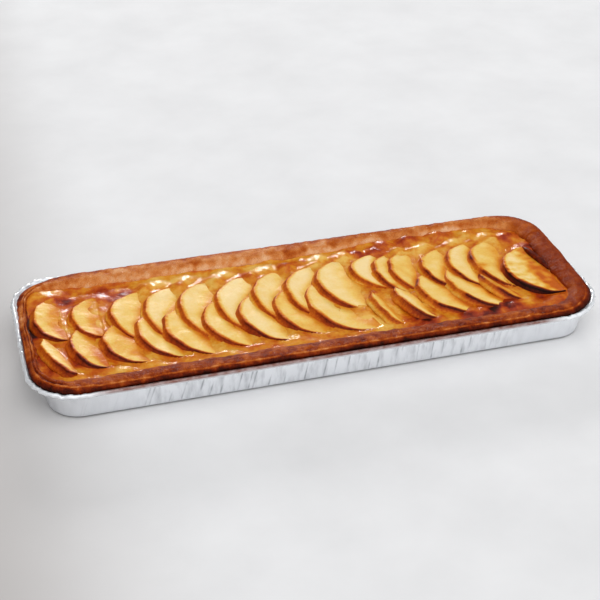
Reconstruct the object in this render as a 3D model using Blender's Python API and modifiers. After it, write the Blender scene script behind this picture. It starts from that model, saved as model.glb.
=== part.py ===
"""A long apple tart in the foil tray it was baked in.

A short-crust pastry case sits in a shallow aluminium tray. It holds a set custard filling, and two
rows of half-moon apple slices lean on one another in it from end to end, like shingles.
Sizes are metres, +Z is up, and the origin is the middle of the tray's underside, with +X along the
tart and +Y towards its far side.
"""

from math import cos, exp, pi, radians, sin, sqrt

import bmesh
import bpy
from mathutils import Matrix, Vector, noise
from mathutils.geometry import intersect_point_line

MM = 0.001

# The tray, measured over its rolled lip.
TRAY_LENGTH = 350 * MM
TRAY_WIDTH = 127 * MM
TRAY_HEIGHT = 20 * MM
TRAY_CORNER = 30 * MM
FOIL = 0.35 * MM
LIP_WIDTH = 2.9 * MM
SIDE_TAPER = 4.0 * MM
END_FLANGE = 4.2 * MM
END_TAPER = 5.0 * MM
BASE_CORNER = 18 * MM
FOOT_ROUND = 1.2 * MM
FLUTE_DEPTH = 0.25 * MM
LIP_START = 2.2 * MM
LIP_BEND = 0.8 * MM
LIP_CURL = (1.0 * MM, 1.8 * MM)

# The pastry case and the hollow in it, which lies a little left of the tray's middle.
CASE_GAP = 0.45 * MM
CASE_FLOOR = 4.2 * MM
CROWN_HEIGHT = 23.0 * MM
NEAR_DROP = 0.6 * MM
HOLLOW_LENGTH = 326 * MM
HOLLOW_WIDTH = 96 * MM
HOLLOW_CORNER = 18 * MM
HOLLOW_X = -3.7 * MM
HOLLOW_TAPER = (0.945, 0.91)
BRIM_HEIGHT = 20.1 * MM
FIT_GAP = 0.9 * MM

# Rings over the rim: share of the way from its outer edge to the hollow, depth below the crown,
# size of the lumps, and seed. Along the near side the rim has shrunk from the foil.
RIM = (
    (0.02, 1.6 * MM, 0.4 * MM, 1.0),
    (0.16, 0.2 * MM, 0.7 * MM, 1.0),
    (0.45, 0.0, 0.7 * MM, 1.6),
    (0.78, 1.5 * MM, 0.5 * MM, 2.2),
)
NEAR_SHIFT = 0.04
LONG_WAVE = 34 * MM
SHORT_WAVE = 13 * MM

# The filling's surface.
FILLING_HEIGHT = 18.4 * MM
EDGE_RISE = 1.2 * MM
EDGE_REACH = 5 * MM
RIDGE_RISE = 2.9 * MM
RIDGE_REACH = 4.6 * MM
RIDGE_FADE = 4 * MM
RIDGE_SEARCH = 30 * MM
NEAR_RIDGE = 0.55
FAR_START = 12 * MM
FAR_BLEND = 14 * MM
SURFACE_LUMPS = 0.35 * MM
SURFACE_WAVE = 12 * MM

# An apple slice, and how it stands: the raised arc's height, and the room cut round it.
SLICE_THICKNESS = 4.4 * MM
SLICE_EDGE = 0.9 * MM
ARC_HEIGHT = 23.6 * MM
CURL = 5.6
CORE_BULGE = 1.5 * MM
ARC_UNEVEN = 0.04
ARC_WAVE = 11 * MM
ARC_STEPS = 11
CORE_STEPS = 3
POCKET_GAP = 0.4 * MM
POCKET_RISE = 5 * MM
UPRIGHT = radians(50)
REACH = 8 * MM

# Each slice: the x and y of its raised edge, length, depth, turn and lean. Each row runs from left
# to right, and a later slice lies on the earlier ones. Sizes are millimetres and degrees.
FAR_SLICES = (
    (-163.0, 13, 45, 16, 4, 16),
    (-141.0, 10, 42, 16, 0, 16),
    (-118.0, 8, 54, 24, -4, 18),
    (-98.5, 6, 60, 26, -5, 18),
    (-77.0, 3, 66, 28, -3, 18),
    (-54.5, 4, 63, 28, -4, 18),
    (-31.0, 5, 61, 27, -3, 18),
    (-10.5, 5, 62, 27, -4, 18),
    (10.5, 7, 59, 28, 2, 18),
    (35.5, 18, 41, 24, -4, 18),
    (49.5, 14, 47, 20, -6, 20),
    (59.0, 13, 48, 22, -6, 20),
    (80.0, 10, 51, 24, -5, 18),
    (97.5, 10, 53, 24, -6, 18),
    (113.0, 7, 59, 26, -3, 18),
    (128.5, -11, 55, 26, 4, 9),
)
NEAR_SLICES = (
    (-158.8, -27, 40, 7, 20, 15),
    (-145.0, -20, 45, 16, 6, 18),
    (-127.0, -20, 45, 23, 4, 18),
    (-106.5, -15, 54, 26, 2, 18),
    (-90.0, -15, 58, 28, 2, 18),
    (-66.5, -14, 56, 27, 2, 18),
    (-44.5, -13, 57, 28, 0, 18),
    (-22.0, -13, 56, 27, 2, 18),
    (-1.0, -18, 64, 29, 13, 18),
    (38.3, -26, 38, 7, 10, 28),
    (54.5, -25, 42, 12, 15, 24),
    (69.5, -22, 53, 24, 15, 18),
    (91.0, -22, 57, 23, 19, 18),
    (113.0, -21, 41, 14, 18, 28),
)


# ---------------------------------------------------------------- helpers

def clear_scene():
    for obj in list(bpy.data.objects):
        bpy.data.objects.remove(obj)


def collection(name):
    made = bpy.data.collections.new(name)
    bpy.context.scene.collection.children.link(made)
    return made


def material(name, colour, roughness, metallic=0.0):
    made = bpy.data.materials.new(name)
    made.use_nodes = True
    shader = made.node_tree.nodes["Principled BSDF"]
    shader.inputs["Base Color"].default_value = (*colour, 1.0)
    shader.inputs["Roughness"].default_value = roughness
    shader.inputs["Metallic"].default_value = metallic
    return made


def mesh_object(name, bm, home, look=None):
    """Turns a bmesh into an object of the collection home."""
    bmesh.ops.recalc_face_normals(bm, faces=bm.faces)
    mesh = bpy.data.meshes.new(name)
    bm.to_mesh(mesh)
    bm.free()
    obj = bpy.data.objects.new(name, mesh)
    home.objects.link(obj)
    if look:
        mesh.materials.append(look)
        mesh.shade_smooth()
        mesh.set_sharp_from_angle(angle=radians(45))
    return obj


def wave(point, length, seed):
    """Smooth noise from -1 to 1 over the ground plan, with waves of about that length."""
    return noise.noise(Vector((point[0] / length, point[1] / length, seed)))


def rounded_outline(length, width, corner, middle_x=0.0):
    """Points round a rectangle with round corners. Every outline has as many, so that they loft."""
    corner_steps, end_steps, side_steps = 7, 5, 22
    straight_x = length / 2 - corner
    straight_y = width / 2 - corner
    corners = ((1, 1), (-1, 1), (-1, -1), (1, -1))
    points = []
    for quarter, (sx, sy) in enumerate(corners):
        for step in range(corner_steps + 1):
            angle = (quarter + step / corner_steps) * pi / 2
            points.append((sx * straight_x + corner * cos(angle),
                           sy * straight_y + corner * sin(angle)))
        start = points[-1]
        nx, ny = corners[(quarter + 1) % 4]
        turned = (quarter + 1) * pi / 2
        end = (nx * straight_x + corner * cos(turned), ny * straight_y + corner * sin(turned))
        steps = side_steps if quarter % 2 == 0 else end_steps
        for step in range(1, steps):
            t = step / steps
            points.append((start[0] + (end[0] - start[0]) * t, start[1] + (end[1] - start[1]) * t))
    return [Vector((x + middle_x, y, 0.0)) for x, y in points]


def lip_outline(inset, height):
    """The lip's outline at a height, moved in from its outer edge."""
    outline = rounded_outline(TRAY_LENGTH - 2 * inset, TRAY_WIDTH - 2 * inset,
                              TRAY_CORNER - inset)
    return [Vector((x, y, height)) for x, y, _ in outline]


def wall_outline(height, inset=0.0):
    """The tray's outer wall at a height, moved in. It leans out to the lip, or to an end's flange."""
    drop = 1 - height / TRAY_HEIGHT
    length = TRAY_LENGTH - 2 * (LIP_WIDTH + END_FLANGE + END_TAPER * drop + inset)
    width = TRAY_WIDTH - 2 * (LIP_WIDTH + SIDE_TAPER * drop + inset)
    corner = TRAY_CORNER - LIP_WIDTH - (TRAY_CORNER - LIP_WIDTH - BASE_CORNER) * drop - inset
    return [Vector((x, y, height)) for x, y, _ in rounded_outline(length, width, corner)]


def hollow_floor(point, height):
    """The place on the hollow's floor under a point of its brim."""
    return Vector((HOLLOW_X + (point.x - HOLLOW_X) * HOLLOW_TAPER[0],
                   point.y * HOLLOW_TAPER[1], height))


def loft(rings, cap=None, last_cap=True):
    """A skin through rings of points, closed at both ends by one face, or by the cap's faces."""
    bm = bmesh.new()
    loops = []
    for ring in rings:
        made = bmesh.ops.create_circle(bm, segments=len(ring), radius=1.0)["verts"]
        for vert, point in zip(made, ring):
            vert.co = point
        loops.append(made)
    for lower, upper in zip(loops, loops[1:]):
        for i in range(len(lower)):
            j = (i + 1) % len(lower)
            bm.faces.new((lower[i], lower[j], upper[j], upper[i]))
    cap = cap or [range(len(loops[0]))]
    for corners in cap:
        bm.faces.new([loops[0][i] for i in corners][::-1])
        if last_cap:
            bm.faces.new([loops[-1][i] for i in corners])
    return bm


# ---------------------------------------------------------------- foil tray

def foil_tray(home, look):
    """One sheet of foil: floor, fluted leaning wall and rolled lip, thickened inwards."""
    fluted = wall_outline(TRAY_HEIGHT / 2)
    for i, point in enumerate(fluted):
        out = Vector((point.x, point.y * 4, 0)).normalized()
        point += out * (FLUTE_DEPTH if i % 2 else -FLUTE_DEPTH)
    top = TRAY_HEIGHT - FOIL
    rings = [
        wall_outline(0.0, FOOT_ROUND),
        wall_outline(FOOT_ROUND),
        fluted,
        wall_outline(top - 1 * MM),
        lip_outline(LIP_START, top),
        lip_outline(LIP_BEND, top),
        lip_outline(FOIL, top - LIP_CURL[1] / 2),
        lip_outline(LIP_CURL[0], top - LIP_CURL[1]),
    ]
    tray = mesh_object("foil_tray", loft(rings, last_cap=False), home, look)
    sheet = tray.modifiers.new("Foil", "SOLIDIFY")
    sheet.thickness = FOIL
    sheet.offset = 1.0
    return tray


# ---------------------------------------------------------------- pastry case

def near_side(point):
    """1 along the tart's near side, where the case has shrunk from the foil, falling to 0."""
    return min(1.0, max(0.0, -point[1] / (TRAY_WIDTH / 2) - 0.4) / 0.5)


def pastry_case(home, look):
    """The case as one lofted skin: up its outer wall, over the uneven rim, down to its floor."""
    hollow = rounded_outline(HOLLOW_LENGTH, HOLLOW_WIDTH, HOLLOW_CORNER, HOLLOW_X)

    def rim(share, drop, lumps, seed):
        """A ring on the rim, a share of the way from its outer edge to the hollow."""
        ring = []
        for edge, core in zip(lip_outline(LIP_WIDTH + CASE_GAP, 0.0), hollow):
            point = edge.lerp(core, share + NEAR_SHIFT * near_side(edge))
            lump = wave(point, LONG_WAVE, seed) + 0.5 * wave(point, SHORT_WAVE, seed + 4)
            point.z = CROWN_HEIGHT - drop + lumps * lump - NEAR_DROP * near_side(edge)
            ring.append(point)
        return ring

    floor = FOIL + CASE_GAP
    rings = [
        wall_outline(floor, FOOT_ROUND + FOIL + CASE_GAP),
        wall_outline(floor + FOOT_ROUND, FOIL + CASE_GAP),
        wall_outline(TRAY_HEIGHT - 1 * MM, FOIL + CASE_GAP),
        *[rim(*row) for row in RIM],
        [Vector((p.x, p.y, BRIM_HEIGHT)) for p in hollow],
        [hollow_floor(p, CASE_FLOOR) for p in hollow],
    ]
    return mesh_object("pastry_case", loft(rings), home, look)


# ---------------------------------------------------------------- apple slices

class Slice:
    """One half-moon slice: its frame has +Y along the slice and its raised arc towards -X."""

    def __init__(self, name, order, row):
        edge_x, edge_y, length, depth, turn, lean = row
        self.name = name
        self.order = order
        self.rise = POCKET_RISE if radians(lean) < UPRIGHT else 0.0
        self.length = length * MM
        self.depth = depth * MM
        self.edge = Vector((edge_x * MM, edge_y * MM, ARC_HEIGHT))
        self.frame = (Matrix.Rotation(radians(turn), 4, "Z")
                      @ Matrix.Rotation(radians(lean), 4, "Y"))
        self.middle = self.edge + self.frame @ Vector((self.depth, 0, 0))
        self.frame.translation = self.middle

    def outline(self, inset):
        """The half-moon: a deep arc to the left, and a shallow curve where the core was."""
        points = []
        half = self.length / 2 - inset
        for step in range(ARC_STEPS):
            angle = pi / 2 - pi * step / (ARC_STEPS - 1)
            bump = 1 + ARC_UNEVEN * wave((self.edge.x + angle * 9 * MM, 0), ARC_WAVE, self.order)
            points.append((-self.depth * bump * cos(angle) + inset * (2 * cos(angle) - 1),
                           half * sin(angle)))
        for step in range(1, CORE_STEPS):
            angle = -pi / 2 + pi * step / CORE_STEPS
            points.append((CORE_BULGE * cos(angle) - inset, half * sin(angle)))
        return points

    def solid(self, grow=0.0, rise=0.0):
        """The slice, or the room it needs, as a skin with chamfered edges."""
        thick = SLICE_THICKNESS
        levels = ((SLICE_EDGE - grow, -thick - grow), (-grow, -thick * 0.35),
                  (SLICE_EDGE * 0.6 - grow, grow + rise))
        rings = []
        for inset, level in levels:
            ring = [self.place(x, y, level) for x, y in self.outline(inset)]
            rings.append(ring)
        return loft(rings, slice_cap())

    def place(self, x, y, level):
        """A point of the slice in the tart: it curls up towards its core side."""
        return self.frame @ Vector((x, y, level + CURL * (self.depth + x) ** 2))

    def arc_distance(self, x, y):
        """How far a point of the ground plan is from the raised arc."""
        best = 1.0
        steps = 12
        line = [self.place(-self.depth * cos(a), self.length / 2 * sin(a), 0)
                for a in (pi / 2 - pi * (i + 1) / (steps + 2) for i in range(steps + 1))]
        point = Vector((x, y, 0))
        for start, end in zip(line, line[1:]):
            flat = (Vector((start.x, start.y, 0)), Vector((end.x, end.y, 0)))
            foot, share = intersect_point_line(point, *flat)
            foot = flat[0].lerp(flat[1], min(1.0, max(0.0, share)))
            best = min(best, (foot - point).length)
        return best


def slice_cap():
    """A slice's face as triangles between its two ends, so that the curl stays even."""
    last = ARC_STEPS - 1
    cap = [(i, i + 1, last - i) for i in range(last // 2)]
    cap += [(i + 1, last - i - 1, last - i) for i in range(last // 2 - 1)]
    return cap + [(last, *range(ARC_STEPS, ARC_STEPS + CORE_STEPS - 1), 0)]


def all_slices():
    """Both rows, in the order in which they were laid: from left to right."""
    rows = [(f"apple_slice_far_{i + 1:02d}", row) for i, row in enumerate(FAR_SLICES)]
    rows += [(f"apple_slice_near_{i + 1:02d}", row) for i, row in enumerate(NEAR_SLICES)]
    rows.sort(key=lambda named: named[1][0])
    return [Slice(name, order, row) for order, (name, row) in enumerate(rows)]


def cut_away(obj, room):
    """Cuts the room (a bmesh) out of an object."""
    cutter = mesh_object("cutter", room, bpy.context.scene.collection)
    cut = obj.modifiers.new("Cut", "BOOLEAN")
    cut.operation = "DIFFERENCE"
    cut.solver = "MANIFOLD"
    cut.object = cutter
    bpy.context.view_layer.update()
    graph = bpy.context.evaluated_depsgraph_get()
    solid = bpy.data.meshes.new_from_object(obj.evaluated_get(graph))
    obj.modifiers.clear()
    obj.data = solid
    bpy.data.objects.remove(cutter)


def body_of(vert):
    """Every vertex that edges join to this one."""
    body, to_search = {vert}, [vert]
    while to_search:
        here = to_search.pop()
        for edge in here.link_edges:
            other = edge.other_vert(here)
            if other not in body:
                body.add(other)
                to_search.append(other)
    return body


def keep_largest_body(obj):
    """Drops the scraps that cuts left loose."""
    bm = bmesh.new()
    bm.from_mesh(obj.data)
    bodies = []
    seen = set()
    for vert in bm.verts:
        if vert not in seen:
            bodies.append(body_of(vert))
            seen |= bodies[-1]
    bodies.sort(key=len, reverse=True)
    scraps = [vert for body in bodies[1:] for vert in body]
    bmesh.ops.delete(bm, geom=scraps, context="VERTS")
    bmesh.ops.triangulate(bm, faces=bm.faces)
    bm.to_mesh(obj.data)
    bm.free()


def apple_slices(home, look, slices):
    """Each slice, with what a later slice lying on it presses away."""
    for index, one in enumerate(slices):
        obj = mesh_object(one.name, one.solid(), home, look)
        for other in slices[index + 1:]:
            if (other.middle - one.middle).length < other.length / 2 + one.length / 2 + REACH:
                cut_away(obj, other.solid(POCKET_GAP))
        keep_largest_body(obj)


# ---------------------------------------------------------------- filling

def filling_height(x, y, slices):
    """The filling's surface: level, up at the case, and drawn up along the slices' arcs."""
    side = HOLLOW_WIDTH / 2 - abs(y)
    end = HOLLOW_LENGTH / 2 - abs(x - HOLLOW_X)
    edge = max(0.0, min(side, end))
    height = FILLING_HEIGHT + EDGE_RISE * exp(-edge / EDGE_REACH)
    height += SURFACE_LUMPS * wave((x, y), SURFACE_WAVE, 8.0)
    ridge = 0.0
    for one in slices:
        if abs(one.edge.x - x) < RIDGE_SEARCH:
            ridge = max(ridge, exp(-(one.arc_distance(x, y) / RIDGE_REACH) ** 2))
    far = min(1.0, max(0.0, (y - FAR_START) / FAR_BLEND))
    fade = min(1.0, edge / RIDGE_FADE)
    return height + RIDGE_RISE * ridge * fade * (NEAR_RIDGE + (1 - NEAR_RIDGE) * far)


def custard_filling(home, look, slices):
    """The filling as a grid bent to the hollow's outline, and pulled down into a solid."""
    length = HOLLOW_LENGTH - 2 * FIT_GAP
    width = HOLLOW_WIDTH - 2 * FIT_GAP
    corner = HOLLOW_CORNER - FIT_GAP
    bm = bmesh.new()
    bmesh.ops.create_grid(bm, x_segments=44, y_segments=15, size=1.0)
    for vert in bm.verts:
        t = vert.co.y
        y = width / 2 * (1.35 * t - 0.35 * t ** 3)
        past = max(0.0, abs(y) - (width / 2 - corner))
        half = length / 2 - corner + sqrt(max(0.0, corner ** 2 - past ** 2))
        x = HOLLOW_X + half * vert.co.x
        vert.co = (x, y, filling_height(x, y, slices))
    pulled = bmesh.ops.extrude_face_region(bm, geom=bm.faces[:])["geom"]
    down = [item for item in pulled if isinstance(item, bmesh.types.BMVert)]
    for vert in down:
        vert.co = hollow_floor(vert.co, CASE_FLOOR + FIT_GAP)
    flat = [item for item in pulled if isinstance(item, bmesh.types.BMFace)]
    bmesh.ops.dissolve_faces(bm, faces=flat)
    filling = mesh_object("custard_filling", bm, home, look)
    for one in slices:
        cut_away(filling, one.solid(POCKET_GAP, one.rise))
    keep_largest_body(filling)


# ---------------------------------------------------------------- the tart

def main():
    clear_scene()
    tart = collection("apple_tart")
    foil = material("foil", (0.80, 0.81, 0.82), 0.28, 1.0)
    pastry = material("pastry", (0.52, 0.23, 0.07), 0.45)
    custard = material("custard", (0.72, 0.38, 0.08), 0.22)
    apple = material("apple", (0.88, 0.70, 0.36), 0.35)
    slices = all_slices()
    foil_tray(tart, foil)
    pastry_case(tart, pastry)
    apple_slices(tart, apple, slices)
    custard_filling(tart, custard, slices)


main()
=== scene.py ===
from math import cos, exp, pi, radians, sin, sqrt

import bmesh
import bpy
import numpy as np
from mathutils import Euler, Matrix, Vector, noise


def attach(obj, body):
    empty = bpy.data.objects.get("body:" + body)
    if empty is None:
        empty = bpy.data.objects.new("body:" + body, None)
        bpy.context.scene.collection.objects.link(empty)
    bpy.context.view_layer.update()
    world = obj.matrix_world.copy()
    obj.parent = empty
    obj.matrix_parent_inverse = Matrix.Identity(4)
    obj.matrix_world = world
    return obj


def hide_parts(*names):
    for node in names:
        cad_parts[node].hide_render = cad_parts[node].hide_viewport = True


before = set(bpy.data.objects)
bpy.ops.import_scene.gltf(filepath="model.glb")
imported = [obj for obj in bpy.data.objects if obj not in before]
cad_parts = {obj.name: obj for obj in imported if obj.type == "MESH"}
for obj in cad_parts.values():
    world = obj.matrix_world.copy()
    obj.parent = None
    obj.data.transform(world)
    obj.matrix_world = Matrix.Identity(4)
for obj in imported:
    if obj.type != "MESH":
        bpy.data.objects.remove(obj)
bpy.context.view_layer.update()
mm = 0.001


# small tools that the pieces share

def smooth(low, high, value):
    t = min(1.0, max(0.0, (value - low) / (high - low)))
    return t * t * (3 - 2 * t)


def mix(a, b, t):
    return a + (b - a) * t


def wave(x, y, size, seed):
    # smooth noise from -1 to 1, with waves of about that size
    return noise.noise(Vector((x / size, y / size, seed)))


def rough(x, y, size, seed, octaves=3):
    return noise.fractal(Vector((x / size, y / size, seed)), 0.9, 2.0, octaves)


def linear(colour):
    # a screen colour, 0 to 255, as the light value that a shader wants
    return tuple(c / 3294.6 if c < 10.3 else ((c / 255 + 0.055) / 1.055) ** 2.4 for c in colour)


def gridSkin(steps, rows, place, marks=("toast", "ragged"), seam=False):
    # a flat grid bent to shape: place(u, v) gives a point and the values of its marks
    bm = bmesh.new()
    bmesh.ops.create_grid(bm, x_segments=steps, y_segments=rows, size=0.5)
    layers = [bm.verts.layers.float.new(mark) for mark in marks]
    for vert in bm.verts:
        point, values = place(vert.co.x + 0.5, vert.co.y + 0.5)
        vert.co = point
        for layer, value in zip(layers, values):
            vert[layer] = value
    if seam:
        bmesh.ops.remove_doubles(bm, verts=bm.verts, dist=0.01 * mm)
    return bm


def closeHoles(bm):
    openEdges = [edge for edge in bm.edges if edge.is_boundary]
    bmesh.ops.holes_fill(bm, edges=openEdges, sides=0)


def makePiece(name, bm, material, slotName, *nodes):
    # the finished mesh as an object that rides on the tart and stands for its solids
    bmesh.ops.recalc_face_normals(bm, faces=bm.faces)
    mesh = bpy.data.meshes.new(name)
    bm.to_mesh(mesh)
    bm.free()
    mesh.materials.append(material)
    mesh.shade_smooth()
    piece = bpy.data.objects.new(name, mesh)
    bpy.context.scene.collection.objects.link(piece)
    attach(piece, "root")
    if nodes:
        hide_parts(*nodes)
    return piece


def addNode(tree, kind, inputs, **settings):
    made = tree.nodes.new("ShaderNode" + kind)
    for name, value in settings.items():
        setattr(made, name, value)
    for name, value in inputs.items():
        if isinstance(value, bpy.types.NodeSocket):
            tree.links.new(value, made.inputs[name])
        else:
            made.inputs[name].default_value = value
    return made


def mathNode(tree, operation, a, b=0.0, clamp=False):
    return addNode(tree, "Math", {0: a, 1: b}, operation=operation, use_clamp=clamp).outputs[0]


def noiseNode(tree, place, size, detail=3.0, roughness=0.55, stretch=(1, 1, 1)):
    spot = addNode(tree, "Mapping", {"Vector": place, "Scale": stretch}).outputs[0]
    made = addNode(tree, "TexNoise", {"Vector": spot, "Scale": 1 / size, "Detail": detail,
                                      "Roughness": roughness})
    return made.outputs["Fac"]


def rampNode(tree, value, stops):
    ramp = addNode(tree, "ValToRGB", {"Fac": value})
    colours = ramp.color_ramp.elements
    while len(colours) < len(stops):
        colours.new(0.5)
    for element, (spot, colour) in zip(colours, stops):
        element.position = spot
        element.color = (*linear(colour), 1.0)
    return ramp.outputs["Color"]


def rangeNode(tree, value, low, high, least, most, curve="LINEAR"):
    # low to high becomes least to most
    made = addNode(tree, "MapRange", {"Value": value, "From Min": low, "From Max": high,
                                      "To Min": least, "To Max": most}, interpolation_type=curve)
    return made.outputs[0]


def tintNode(tree, share, colour, tint):
    # the colour with a share of the tint in it
    made = addNode(tree, "Mix", {0: share, 6: colour, 7: (*linear(tint), 1)}, data_type="RGBA")
    return made.outputs[2]


def bakedMaterial(name, look):
    # baked food: the mark "toast" runs along the ramp of colours, and "ragged" is how uneven it is
    material = bpy.data.materials.new(name)
    material.use_nodes = True
    tree = material.node_tree
    shader = tree.nodes["Principled BSDF"]
    place = addNode(tree, "TexCoord", {}).outputs["Object"]
    toast = addNode(tree, "Attribute", {}, attribute_name="toast").outputs["Fac"]
    ragged = addNode(tree, "Attribute", {}, attribute_name="ragged").outputs["Fac"]
    for size, amount, detail in look["patches"]:
        patch = mathNode(tree, "SUBTRACT", noiseNode(tree, place, size, detail), 0.5)
        scaled = mathNode(tree, "MULTIPLY", mathNode(tree, "MULTIPLY", patch, amount), ragged)
        toast = mathNode(tree, "ADD", toast, scaled)
    colour = rampNode(tree, toast, look["stops"])
    specks = noiseNode(tree, place, look["speckSize"], 2.0)
    speck = rangeNode(tree, specks, look["speckFrom"], look["speckFrom"] + 0.1, 0.0, look["speckAmount"])
    tree.links.new(tintNode(tree, speck, colour, look["speck"]), shader.inputs["Base Color"])
    shine = rangeNode(tree, noiseNode(tree, place, 5 * mm, 2.0), 0.0, 1.0, *look["rough"])
    tree.links.new(shine, shader.inputs["Roughness"])
    shader.inputs["Specular IOR Level"].default_value = look["specular"]
    shader.inputs["Coat Weight"].default_value = look["coat"]
    shader.inputs["Coat Roughness"].default_value = look["coatRough"]
    shader.inputs["Subsurface Weight"].default_value = look["glow"]
    shader.inputs["Subsurface Radius"].default_value = (1.0, 0.5, 0.2)
    shader.inputs["Subsurface Scale"].default_value = 2 * mm
    height = 0.0
    for size, amount, detail in look["bumps"]:
        bump = mathNode(tree, "MULTIPLY", noiseNode(tree, place, size, detail), amount)
        height = mathNode(tree, "ADD", bump, height)
    relief = addNode(tree, "Bump", {"Height": height, "Strength": 1.0, "Distance": 1 * mm})
    tree.links.new(relief.outputs[0], shader.inputs["Normal"])
    tree.links.new(relief.outputs[0], shader.inputs["Coat Normal"])
    return material


# outlines of the tray and the case: a rounded rectangle, walked round from its +X side, with these
# parts of the way for every corner and side, in mm

cornerPart, longPart, shortPart = 47.0, 290.0, 67.0
roundTrip = 4 * cornerPart + 2 * longPart + 2 * shortPart


def walk(share, length, width, corner):
    # the place and outward direction at a share of the way round
    way = (share % 1.0) * roundTrip
    signs = ((1, 1), (-1, 1), (-1, -1), (1, -1))
    for quarter, (sx, sy) in enumerate(signs):
        centre = Vector((sx * (length / 2 - corner), sy * (width / 2 - corner), 0))
        if way < cornerPart:
            angle = (quarter + way / cornerPart) * pi / 2
            out = Vector((cos(angle), sin(angle), 0))
            return centre + out * corner, out
        way -= cornerPart
        side = longPart if quarter % 2 == 0 else shortPart
        if way < side:
            nx, ny = signs[(quarter + 1) % 4]
            angle = (quarter + 1) * pi / 2
            out = Vector((cos(angle), sin(angle), 0))
            nextCentre = Vector((nx * (length / 2 - corner), ny * (width / 2 - corner), 0))
            return centre.lerp(nextCentre, way / side) + out * corner, out
        way -= side
    return walk(0.0, length, width, corner)


# the foil tray

tray = dict(
    length=350 * mm, width=127 * mm, corner=30 * mm, baseCorner=18 * mm,
    lip=2.9 * mm, endFlange=4.2 * mm, sideTaper=4.0 * mm, endTaper=5.0 * mm, foil=0.3 * mm,
    wallTop=18.2 * mm, bead=1.05 * mm, beadHeight=18.8 * mm, steps=900,
    flute=0.36 * mm, fluteSize=6.5 * mm, crinkle=0.16 * mm, cornerCrinkle=1.5 * mm, lift=2.4 * mm,
    # distances from the middle, as shares of the length, over which the wall turns plain,
    # the lip's pleats begin and the painted reflection of the crust on it ends
    plainFrom=(0.28, 0.35), pleatsFrom=(0.37, 0.43), crustReflectionTo=(0.36, 0.42), plainness=0.85,
    marks=("way", "wall", "lip", "brownTint", "foot"),
    look=dict(
        # the darker tones are painted reflection streaks and painted shade in the creases
        tone=(246, 248, 251), streakShadeTone=(205, 207, 211), grooveShadeTone=(138, 140, 145),
        # the brown tint is the crust's reflection, painted on the near side's lip
        brownTint=(128, 84, 74), footShadeTone=(64, 64, 66),
        creaseGap=7.5 * mm, creaseLean=0.08, creaseWidth=0.11, creaseShade=0.32, creaseDent=0.35,
        streakSize=3.4 * mm, paleness=0.56, rough=(0.22, 0.44), lipGloss=0.14, lipPale=0.6,
        dentSize=3 * mm, dent=0.1, wallDent=0.12, crinkleSize=2 * mm,
    ),
)


def trayRings():
    # how far in from the wall and how high each ring lies, from the middle of the base to the bead
    rings = [(30 * mm, 0.0), (9 * mm, 0.0), (3 * mm, 0.0), (1.5 * mm, 0.02 * mm), (0.8 * mm, 0.25 * mm),
             (0.25 * mm, 0.8 * mm), (0.0, 1.6 * mm)]
    rings += [(0.0, z * mm) for z in (3, 4.5, 6, 7.5, 9, 10.5, 12, 13.5, 15, 16.2, 17.2)]
    rings += [(-0.05 * mm, tray["wallTop"]), (-0.25 * mm, 18.9 * mm)]
    for degrees in (150, 125, 100, 75, 50, 25, 0, -25, -50, -75, -100, -130):
        angle = radians(degrees)
        rings.append((-(1.5 * mm + tray["bead"] * cos(angle)),
                      tray["beadHeight"] + tray["bead"] * sin(angle)))
    return rings


def wallSpot(share, height, inset, flange):
    # a place on the tray's wall, moved in; at the ends a flange stands between wall and lip
    drop = max(0.0, 1 - height / tray["wallTop"])
    length = tray["length"] - 2 * (tray["lip"] + flange + tray["endTaper"] * drop + inset)
    width = tray["width"] - 2 * (tray["lip"] + tray["sideTaper"] * drop + inset)
    corner = mix(tray["corner"] - tray["lip"], tray["baseCorner"], drop) - inset
    return walk(share, length, width, max(corner, 2 * mm))


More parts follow.
